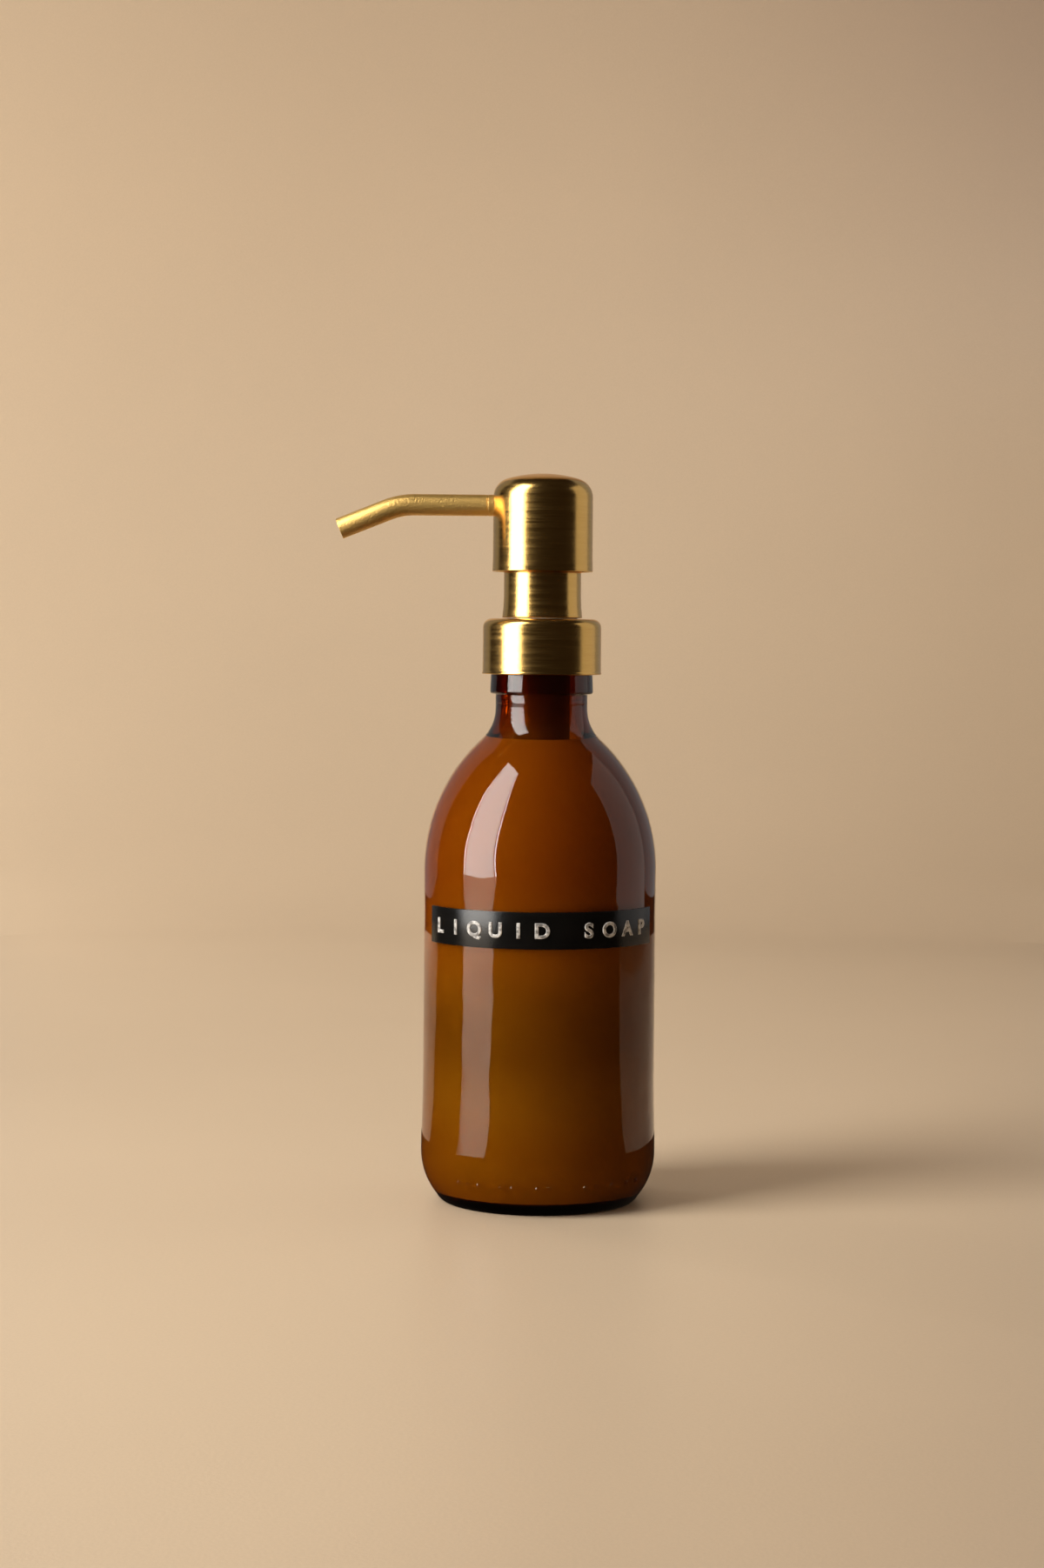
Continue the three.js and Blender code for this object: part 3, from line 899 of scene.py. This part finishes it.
# %% The dip tube
SLANT = math.radians(30)
CUT_HEIGHT = 8.97
tube_low, tube_high, _ = reach("dip_tube")
dip = turn(
    "dip_tube_fine",
    [(2, tube_low - 2, 0.05), (2, tube_high, 0.2), (3, tube_high, 0.3), (3, tube_low - 2, 0.05)],
    sides=48,
)
only(dip)
edit_all()
slant = (math.sin(SLANT), 0, math.cos(SLANT))
cut = (0, 0, CUT_HEIGHT * MM)
bpy.ops.mesh.bisect(plane_co=cut, plane_no=slant, use_fill=True, clear_inner=True)
bpy.ops.object.mode_set(mode="OBJECT")

# %% The ball and its cage
CAGE_HOLES = 3
HOLE_PLACE, HOLE_RADIUS = 3.4, 1.25
BALL_RADIUS = 2.5
cage_low, cage_high, cage_radius = reach("ball_cage")
cage = turn(
    "cage",
    [(0, cage_low), (cage_radius, cage_low, 0.2), (cage_radius, cage_high, 0.2), (0, cage_high)],
    sides=64,
)
for i in range(CAGE_HOLES):
    a = math.tau * i / CAGE_HOLES
    x, y = HOLE_PLACE * math.cos(a), HOLE_PLACE * math.sin(a)
    hole = rod(HOLE_RADIUS, (x, y, cage_low - 1), (x, y, cage_high + 1), sides=32)
    combine(cage, hole, "DIFFERENCE")

ball_low, ball_high, _ = reach("inlet_ball")
clear_selection()
bpy.ops.mesh.primitive_uv_sphere_add(
    segments=48,
    ring_count=24,
    radius=BALL_RADIUS * MM,
    location=(0, 0, (ball_low + ball_high) / 2 * MM),
)
ball = settle(bpy.context.object)
ball.name = "ball"
bpy.ops.object.shade_smooth()

# %% The spring
WIRE = 0.45
COIL_RADIUS = 4.5
COILS = 5
spring_low, spring_high, _ = reach("return_spring")
clear_selection()
bpy.ops.mesh.primitive_circle_add(
    vertices=14,
    radius=WIRE * MM,
    location=(COIL_RADIUS * MM, 0, (spring_low + WIRE) * MM),
    rotation=(math.pi / 2, 0, 0),
)
spring = settle(bpy.context.object)
spring.name = "spring"
coil = spring.modifiers.new("coil", "SCREW")
coil.angle = math.tau * COILS
coil.screw_offset = (spring_high - spring_low - 2 * WIRE) * MM
coil.steps = coil.render_steps = 40 * COILS
bpy.ops.object.modifier_apply(modifier="coil")
bpy.ops.object.mode_set(mode="EDIT")
cap_ends()
finish(spring, sharp=50)

# %% The stem and the rod
stem_low, stem_high, _ = reach("pump_stem")
stem = turn(
    "stem",
    [
        (2.4, stem_low, 0.2),
        (STEM_RADIUS, stem_low, 0.3),
        (STEM_RADIUS, stem_high, 0.3),
        (2.4, stem_high, 0.2),
    ],
    sides=64,
)
rod_low, rod_high, _ = reach("piston_rod")
ROD_RADIUS = 2.2
POPPET_LOW, POPPET_TOP, POPPET_RADIUS = 143.2, 145.4, 5.2
poppet = turn(
    "rod",
    [
        (0, rod_low),
        (ROD_RADIUS, rod_low, 1.4),
        (ROD_RADIUS, POPPET_LOW, 0.3),
        (POPPET_RADIUS, POPPET_LOW, 0.3),
        (POPPET_RADIUS, POPPET_TOP - 0.8, 0.2),
        (POPPET_RADIUS - 0.8, POPPET_TOP, 0.2),
        (ROD_RADIUS, POPPET_TOP, 0.2),
        (ROD_RADIUS, rod_high, 1),
        (0, rod_high),
    ],
    sides=64,
)
for near, far in ((1, 7), (-7, -1)):
    combine(poppet, block((-4, near, POPPET_TOP), (4, far, 160)), "DIFFERENCE")

# %% The piston
PISTON_BORE, PISTON_WAIST, PISTON_LIP = 4.15, 6.1, 6.85
piston_low, piston_high, _ = reach("piston_cup")
piston = turn(
    "piston",
    [
        (PISTON_BORE, piston_low + 1.2, 0.1),
        (5.4, piston_low, 0.1),
        (PISTON_WAIST, piston_low + 1, 0.3),
        (PISTON_LIP, piston_low, 0.1),
        (PISTON_LIP, piston_low + 1.6, 0.2),
        (PISTON_WAIST, piston_low + 2.4, 0.4),
        (PISTON_WAIST, piston_high - 2.4, 0.4),
        (PISTON_LIP, piston_high - 1.6, 0.2),
        (PISTON_LIP, piston_high, 0.1),
        (PISTON_WAIST, piston_high - 1, 0.3),
        (5.2, piston_high - 1, 0.3),
        (PISTON_BORE, piston_high - 0.4, 0.2),
    ],
)

# %% [markdown]
# ## Shader expressions
#
# Shader maths is easier to read as an expression than as a row of nodes. A Value wraps a node's
# output, and the arithmetic signs on it add Math nodes. Any other node comes from one method,
# which is given its settings and then the values or links of its sockets.


# %% Values and shaders
class Value:
    """A node's output, with arithmetic."""

    def __init__(self, shader, socket):
        self.shader = shader
        self.socket = socket

    def math(self, operation, *others):
        terms = dict(enumerate((self, *others)))
        return self.shader.make("ShaderNodeMath", {"operation": operation}, terms).value("Value")

    def __add__(self, other):
        return self.math("ADD", other)

    def __mul__(self, other):
        return self.math("MULTIPLY", other)

    def __sub__(self, other):
        return self.math("SUBTRACT", other)

    def __rsub__(self, other):
        return (self * -1) + other

    def smooth(self, low, high):
        """0 below low, 1 above high, and a soft step between."""
        settings = {"interpolation_type": "SMOOTHSTEP"}
        sockets = {"Value": self, "From Min": low, "From Max": high}
        return self.shader.make("ShaderNodeMapRange", settings, sockets).value("Result")


class Made:
    """A node that has been made, and a way to reach its outputs."""

    def __init__(self, shader, node):
        self.shader = shader
        self.node = node

    def value(self, output):
        return Value(self.shader, self.node.outputs[output])


class Shader:
    """A new material and its nodes."""

    def __init__(self, name):
        self.material = bpy.data.materials.new(name)
        self.material.use_nodes = True
        self.nodes = self.material.node_tree.nodes
        self.links = self.material.node_tree.links
        self.nodes.clear()
        self.output = self.nodes.new("ShaderNodeOutputMaterial")

    def make(self, kind, settings=None, sockets=None):
        node = self.nodes.new(kind)
        for key, setting in (settings or {}).items():
            setattr(node, key, setting)
        for key, given in (sockets or {}).items():
            if isinstance(given, Value):
                self.links.new(given.socket, node.inputs[key])
            else:
                node.inputs[key].default_value = given
        return Made(self, node)

    def place(self):
        """Where a point is on the piece, in metres."""
        return self.make("ShaderNodeTexCoord").value("Object")

    def parts(self, vector):
        node = self.make("ShaderNodeSeparateXYZ", None, {"Vector": vector})
        return node.value("X"), node.value("Y"), node.value("Z")

    def stretched(self, vector, scale):
        node = self.make("ShaderNodeVectorMath", {"operation": "MULTIPLY"}, {0: vector, 1: scale})
        return node.value("Vector")

    def noise(self, vector, scale, detail=2.0, roughness=0.5):
        sockets = {"Vector": vector, "Scale": scale, "Detail": detail, "Roughness": roughness}
        return self.make("ShaderNodeTexNoise", None, sockets).value("Fac")

    def mix(self, share, first, second):
        """A colour between two colours."""
        node = self.make("ShaderNodeMix", {"data_type": "RGBA"}, {"Factor": share})
        for key, colour in (("A", first), ("B", second)):
            socket = [i for i in node.node.inputs if i.name == key and i.type == "RGBA"][0]
            if isinstance(colour, Value):
                self.links.new(colour.socket, socket)
            else:
                socket.default_value = (*colour, 1)
        result = [o for o in node.node.outputs if o.type == "RGBA"][0]
        return Value(self, result)

    def bump(self, height, depth, strength=1.0):
        sockets = {"Height": height, "Distance": depth, "Strength": strength}
        return self.make("ShaderNodeBump", None, sockets).value("Normal")

    def surface(self, sockets):
        """The Principled shader, and the material that it finishes."""
        shader = self.make("ShaderNodeBsdfPrincipled", None, sockets)
        self.links.new(shader.node.outputs["BSDF"], self.output.inputs["Surface"])
        return self.material


def wear(piece, material, replaced=None, body=None):
    """Gives a piece its finish, the body it moves with and the part that it stands for."""
    piece.data.materials.clear()
    piece.data.materials.append(material)
    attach(piece, body)
    if replaced:
        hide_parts(replaced)
    print(f"{piece.name}: {material.name}, on {body}")


# %% [markdown]
# ## Amber glass
#
# Glass gets its colour from its depth: the deeper the light has to go, the browner and darker it
# comes out. A coloured surface would look like painted plastic, so the surface here is clear and
# the colour is an absorption inside the solid. The bump gives the slow waviness of moulded glass,
# the two faint seams of the mould, and the fine knurls on the ring that it stands on.

# %% Glass
AMBER = (0.832, 0.667, 0.03)
AMBER_DENSITY = 1500.0


def amber_glass():
    s = Shader("amber_glass")
    where = s.place()
    x, y, z = s.parts(where)
    waves = s.noise(where, 55.0, 1.0)
    seam = 1 - y.math("ABSOLUTE").smooth(0.00006, 0.00022)
    above_panel = z.smooth(0.002, 0.004)
    around = y.math("ARCTAN2", x)
    knurl = (around * 110.0).math("SINE") * (1 - z.smooth(0.0009, 0.0016))
    height = waves * 0.00032 + seam * above_panel * 0.00005 + knurl * 0.00006
    glass = s.surface(
        {
            "Base Color": (1.0, 0.985, 0.96, 1),
            "Roughness": 0.015,
            "IOR": 1.5,
            "Transmission Weight": 1.0,
            "Normal": s.bump(height, 1.0),
        }
    )
    sockets = {"Color": (*AMBER, 1), "Density": AMBER_DENSITY}
    inside = s.make("ShaderNodeVolumeAbsorption", None, sockets)
    s.links.new(inside.node.outputs["Volume"], s.output.inputs["Volume"])
    return glass


wear(bottle, amber_glass(), "glass_bottle", "bottle")


# %% Soap
def creamy_soap():
    s = Shader("creamy_soap")
    where = s.place()
    x, y, z = s.parts(where)
    swirl = s.noise(where, 45.0, 3.0)
    cloudy = s.mix(swirl, (0.80, 0.77, 0.70), (0.90, 0.88, 0.83))
    # From 50 mm up the soap's colour turns gradually to a warm peach, which it reaches at 85 mm.
    peach_top = s.mix(z.smooth(0.05, 0.085), cloudy, (0.95, 0.70, 0.55))
    # Painted shade: the soap's colour is darkened in a broad band about 58 mm up and towards its
    # right side.
    band = 1 - ((z + swirl * 0.02 - 0.058) * 42.0).math("ABSOLUTE").smooth(0.0, 1.0)
    shade = band * 0.6 + x.smooth(0.0, 0.03) * 0.2
    return s.surface(
        {
            "Base Color": s.mix(shade, peach_top, (0.42, 0.36, 0.30)),
            "Roughness": 0.35,
            "IOR": 1.4,
            "Normal": s.bump(swirl, 0.0004),
        }
    )


wear(soap, creamy_soap(), None, "bottle")

# %% [markdown]
# ## Embossing tape
#
# The tape is black vinyl with a satin face. Where a die has stretched it, it turns white, and
# unevenly, so the letters are a soft grey-white with darker patches.


# %% Tape and letters
def black_tape():
    s = Shader("black_tape")
    where = s.place()
    grain = s.noise(where, 2600.0, 3.0)
    smears = s.noise(where, 160.0, 2.0)
    return s.surface(
        {
            "Base Color": s.mix(smears, (0.002, 0.002, 0.002), (0.006, 0.0055, 0.005)),
            "Roughness": smears * 0.12 + 0.12,
            "IOR": 1.42,
            "Normal": s.bump(grain + smears * 2.0, 0.00003),
        }
    )


def stretched_white():
    s = Shader("stretched_white")
    where = s.place()
    x, y, z = s.parts(where)
    out = (x * x + y * y).math("SQRT")
    low, high = ((label_radius + LETTER_RISE * share) * MM for share in (0.6, 0.95))
    top = out.smooth(low, high)
    patches = s.noise(where, 900.0, 3.0, 0.6).smooth(0.35, 0.6)
    edge_white = s.mix(patches, (0.50, 0.49, 0.47), (0.84, 0.83, 0.80))
    return s.surface(
        {
            "Base Color": s.mix(top * (1 - patches * 0.55), edge_white, (0.13, 0.125, 0.12)),
            "Roughness": 0.42,
            "Normal": s.bump(patches, 0.00003),
        }
    )


wear(tape, black_tape(), "label_tape", "bottle")
wear(lettering, stretched_white(), None, "bottle")

# %% [markdown]
# ## Brushed brass
#
# The shells are polished against a belt while they turn, which leaves rings of hair-thin
# scratches. Noise that is stretched flat makes such rings on anything turned about an upright
# axis. The scratches tilt the surface up and down only, so highlights stay narrow from side to
# side and smear from top to bottom.

# %% Brass
BRASS_DARK = (0.70, 0.41, 0.11)
BRASS_LIGHT = (0.88, 0.56, 0.18)
SCRATCH_DEPTH = 0.0000028


def brushed_brass():
    s = Shader("brushed_brass")
    where = s.place()
    rings = s.noise(s.stretched(where, (70.0, 70.0, 2600.0)), 1.0, 4.0, 0.75).smooth(0.3, 0.7)
    broad = s.noise(s.stretched(where, (25.0, 25.0, 900.0)), 1.0, 2.0)
    stains = s.noise(where, 90.0, 3.0)
    return s.surface(
        {
            "Base Color": s.mix(rings * 0.5 + stains * 0.5, BRASS_DARK, BRASS_LIGHT),
            "Metallic": 1.0,
            "Roughness": broad * 0.12 + rings * 0.08 + 0.11,
            "Normal": s.bump(rings + broad * 0.6, SCRATCH_DEPTH),
        }
    )


def drawn_brass():
    s = Shader("drawn_brass")
    where = s.place()
    along = s.noise(s.stretched(where, (120.0, 2500.0, 2500.0)), 1.0, 3.0)
    dimples = s.noise(where, 1700.0, 3.0, 0.6)
    tone = along * 0.5 + dimples * 0.5
    return s.surface(
        {
            "Base Color": s.mix(tone, (0.74, 0.45, 0.12), (0.93, 0.63, 0.22)),
            "Metallic": 1.0,
            "Roughness": dimples * 0.2 + 0.36,
            "Normal": s.bump(along * 0.3 + dimples, 0.00014),
        }
    )


brass = brushed_brass()
wear(head, brass, "head_shell", "head")
wear(sleeve, brass, "sleeve_shell", "pump_body")
wear(collar, brass, "collar_shell", "collar")
wear(spout, drawn_brass(), "spout_tube", "head")

# %% [markdown]
# ## Plastics, rubber and steel
#
# The inside pieces are moulded polypropylene and polyethylene, which are milky and slightly waxy,
# so they get a little scattering under the surface and a faint texture. The gasket is foam, the
# O-ring is rubber, and the ball and spring are steel.


# %% Plastics, rubber and steel
def moulded(name, dark, light, roughness, milky=0.0):
    s = Shader(name)
    where = s.place()
    flow = s.noise(where, 220.0, 3.0)
    grain = s.noise(where, 3000.0, 2.0)
    return s.surface(
        {
            "Base Color": s.mix(flow, dark, light),
            "Roughness": flow * 0.12 + roughness,
            "IOR": 1.49,
            "Subsurface Weight": milky,
            "Subsurface Radius": (0.0012, 0.0012, 0.0011),
            "Normal": s.bump(grain + flow * 3.0, 0.000012),
        }
    )


def drawn_steel():
    s = Shader("drawn_steel")
    where = s.place()
    grain = s.noise(where, 1800.0, 3.0)
    return s.surface(
        {
            "Base Color": s.mix(grain, (0.50, 0.50, 0.51), (0.66, 0.66, 0.67)),
            "Metallic": 1.0,
            "Roughness": grain * 0.15 + 0.14,
            "Normal": s.bump(grain, 0.000005),
        }
    )


white_plastic = moulded("white_plastic", (0.78, 0.77, 0.74), (0.86, 0.85, 0.82), 0.36, 0.15)
milky_plastic = moulded("milky_plastic", (0.70, 0.70, 0.67), (0.80, 0.80, 0.77), 0.24, 0.3)
smoky_plastic = moulded("smoky_plastic", (0.24, 0.22, 0.20), (0.34, 0.32, 0.29), 0.3, 0.1)
soft_plastic = moulded("soft_plastic", (0.74, 0.73, 0.69), (0.82, 0.81, 0.78), 0.5, 0.15)
black_rubber = moulded("black_rubber", (0.012, 0.012, 0.012), (0.03, 0.03, 0.03), 0.5)
steel = drawn_steel()

wear(closure, white_plastic, "threaded_closure", "collar")
wear(barrel, smoky_plastic, "pump_housing", "pump_body")
wear(chaplet, white_plastic, "snap_chaplet", "pump_body")
wear(gasket, soft_plastic, "rim_gasket", "pump_body")
wear(dip, milky_plastic, "dip_tube", "pump_body")
wear(cage, white_plastic, "ball_cage", "pump_body")
wear(ball, steel, "inlet_ball", "inlet_valve")
wear(stem, white_plastic, "pump_stem", "plunger")
wear(poppet, white_plastic, "piston_rod", "plunger")
wear(piston, soft_plastic, "piston_cup", "piston")
wear(insert, white_plastic, "head_insert", "head")
wear(seal, black_rubber, "spout_seal", "head")
wear(liner, milky_plastic, "spout_liner", "head")

# %% [markdown]
# The spring is squeezed between the cage and the piston rod as the head goes down. Here it gets
# a mesh of its own and moves with the pump's body, at its full length. The share of its length
# left at the bottom of the stroke is worked out, but nothing uses it.

# %% Give the spring its own mesh
stroke = next(j["range_m"][1] for j in frame["joints"] if j["name"] == "head_press")
spring_length = (spring_high - spring_low) * MM
(spring_length - stroke) / spring_length
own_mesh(spring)
wear(spring, steel, "return_spring", "pump_body")

# %% [markdown]
# ## The studio
#
# The bottle stands on a sweep of warm beige paper. A tall strip of soft light stands to the left,
# a white card to the right, and the room in front is dark, which is what gives the metal its
# bright edge and dark middle. The paper is a wide dish made by spinning a bent line, so that
# there is paper behind the dispenser from every side. Its colour is painted darker towards the
# top, the right and the front right: painted shade, where the paper falls away from the light.

# %% Spread the paper
DISH_RADIUS = 1.15
DISH_CURVE = 0.45
DISH_HEIGHT = 2.2
NEAR_RING = 0.12
PAPER = (0.604, 0.476, 0.332)
# The dark warm brown of the paper's painted shade.
PAINTED_SHADE = (0.11, 0.04, 0.0)


def paper_material():
    s = Shader("warm_paper")
    where = s.place()
    x, y, z = s.parts(where)
    grain = s.noise(where, 1100.0, 3.0)
    clouds = s.noise(where, 6.0, 2.0)
    # Painted shade: the paper's colour is darkened towards the top, the right and the front right.
    top = z.smooth(0.12, 0.75) * (x * 0.65 + 0.31)
    right = x.smooth(0.02, 0.5) * 0.27
    front = (x - y * 0.35).smooth(0.04, 0.26) * 0.24
    dark, light = (tuple(c * share for c in PAPER) for share in (0.91, 1.09))
    paper = s.mix(grain * 0.6 + clouds * 0.4, dark, light)
    return s.surface(
        {
            "Base Color": s.mix(1 - top - right - front, PAINTED_SHADE, paper),
            "Roughness": 0.42,
            "Specular IOR Level": 0.45,
            "Normal": s.bump(grain, 0.00004),
        }
    )


def round_the_dispenser(point):
    """Where a point lies round the dispenser, in degrees from the front, positive to the right."""
    return math.degrees(math.atan2(point.x, -point.y))


dish_outline = [
    (0, 0),
    (NEAR_RING / MM, 0),
    (DISH_RADIUS / MM, 0, DISH_CURVE / MM),
    (DISH_RADIUS / MM, DISH_HEIGHT / MM),
]
DISH_SIDES = 180
dish = draw("paper", rounded(dish_outline, False, steps=24))
sweep_round(DISH_SIDES)
bpy.ops.mesh.select_all(action="SELECT")
bpy.ops.mesh.remove_doubles(threshold=0.1 * MM)
bpy.ops.mesh.normals_make_consistent(inside=True)
bpy.ops.mesh.select_all(action="DESELECT")
bpy.ops.object.mode_set(mode="OBJECT")
dish.data.materials.append(paper_material())

# %% [markdown]
# Polished metal and glass show a whole room. In this one only the paper behind the dispenser, the
# floor at its sides and the paper under the strip of light are bright in reflections, and the
# rest lies in the dark. So does a small ring of floor round the bottle's foot, which keeps the
# heel dark. The dark part is separated here and hidden from reflections, which does the same as
# black cloth hung round the camera.

# %% Hide the dark paper
DARK_WALL = ((-160.0, -79.0), (-45.0, 160.0))
DARK_FLOOR = ((-120.0, -79.0), (-45.0, 84.0))
for face in dish.data.polygons:
    arcs = DARK_FLOOR if face.center.z < MM else DARK_WALL
    dark = any(low < round_the_dispenser(face.center) < high for low, high in arcs)
    face.select = dark or face.center.xy.length < NEAR_RING
bpy.ops.object.mode_set(mode="EDIT")
bpy.ops.mesh.separate(type="SELECTED")
bpy.ops.object.mode_set(mode="OBJECT")
dark_paper = next(o for o in bpy.context.selected_objects if o != dish)
dark_paper.name = "dark_paper"
dark_paper.visible_glossy = False
for part in (dish, dark_paper):
    only(part)
    bpy.ops.object.shade_smooth()
    print(f"{part.name}: {len(part.data.polygons)} faces")


# %% Set the lights
def soft_light(name, place, target, size, radiance, colour=(1, 1, 1), seen_in_gloss=True):
    """A flat soft light. Its power is worked out from how bright its face should be."""
    aim = (Vector(target) - Vector(place)).to_track_quat("-Z", "Y").to_euler()
    clear_selection()
    bpy.ops.object.light_add(type="AREA", location=place, rotation=aim)
    lamp = bpy.context.object
    lamp.name = name
    lamp.data.shape = "RECTANGLE"
    lamp.data.size, lamp.data.size_y = size
    lamp.data.energy = radiance * math.pi * size[0] * size[1]
    lamp.data.color = colour
    lamp.visible_camera = False
    lamp.visible_glossy = seen_in_gloss
    return lamp


def upright_light(name, angle, distance, size, radiance, colour=(1, 1, 1)):
    """A light that stands on the floor, facing the dispenser, at an angle from the front."""
    a = math.radians(angle)
    height = size[1] / 2 + 0.01
    place = (math.sin(a) * distance, -math.cos(a) * distance, height)
    return soft_light(name, place, (0, 0, height), size, radiance, colour)


WARM_WHITE = (1.0, 0.97, 0.93)
upright_light("strip_light", -62, 0.83, (0.46, 1.66), 9.0, (1.0, 0.97, 0.92))
for edge in (-79.2, -44.8):
    upright_light("strip_edge", edge, 0.86, (0.02, 1.66), 15.0)
upright_light("right_card", 102, 0.6, (0.48, 0.72), 0.5, (1.0, 0.94, 0.88))
upright_light("right_back_card", 142, 0.8, (0.5, 1.0), 0.24)
upright_light("left_back_card", -140, 0.8, (0.56, 1.0), 0.22)
soft_light("wall_light", (-0.75, 0.65, 0.3), (0.1, 1.15, 0.1), (0.4, 0.3), 9.0, WARM_WHITE, False)
soft_light("top_light", (0.0, 0.1, 1.3), (0, 0.1, 0), (0.9, 0.9), 1.0, WARM_WHITE, False)

world = bpy.data.worlds.new("dark_room")
bpy.context.scene.world = world
world.use_nodes = True
world.node_tree.nodes["Background"].inputs["Color"].default_value = (0.02, 0.014, 0.010, 1)
bpy.context.scene.view_settings.view_transform = "Standard"
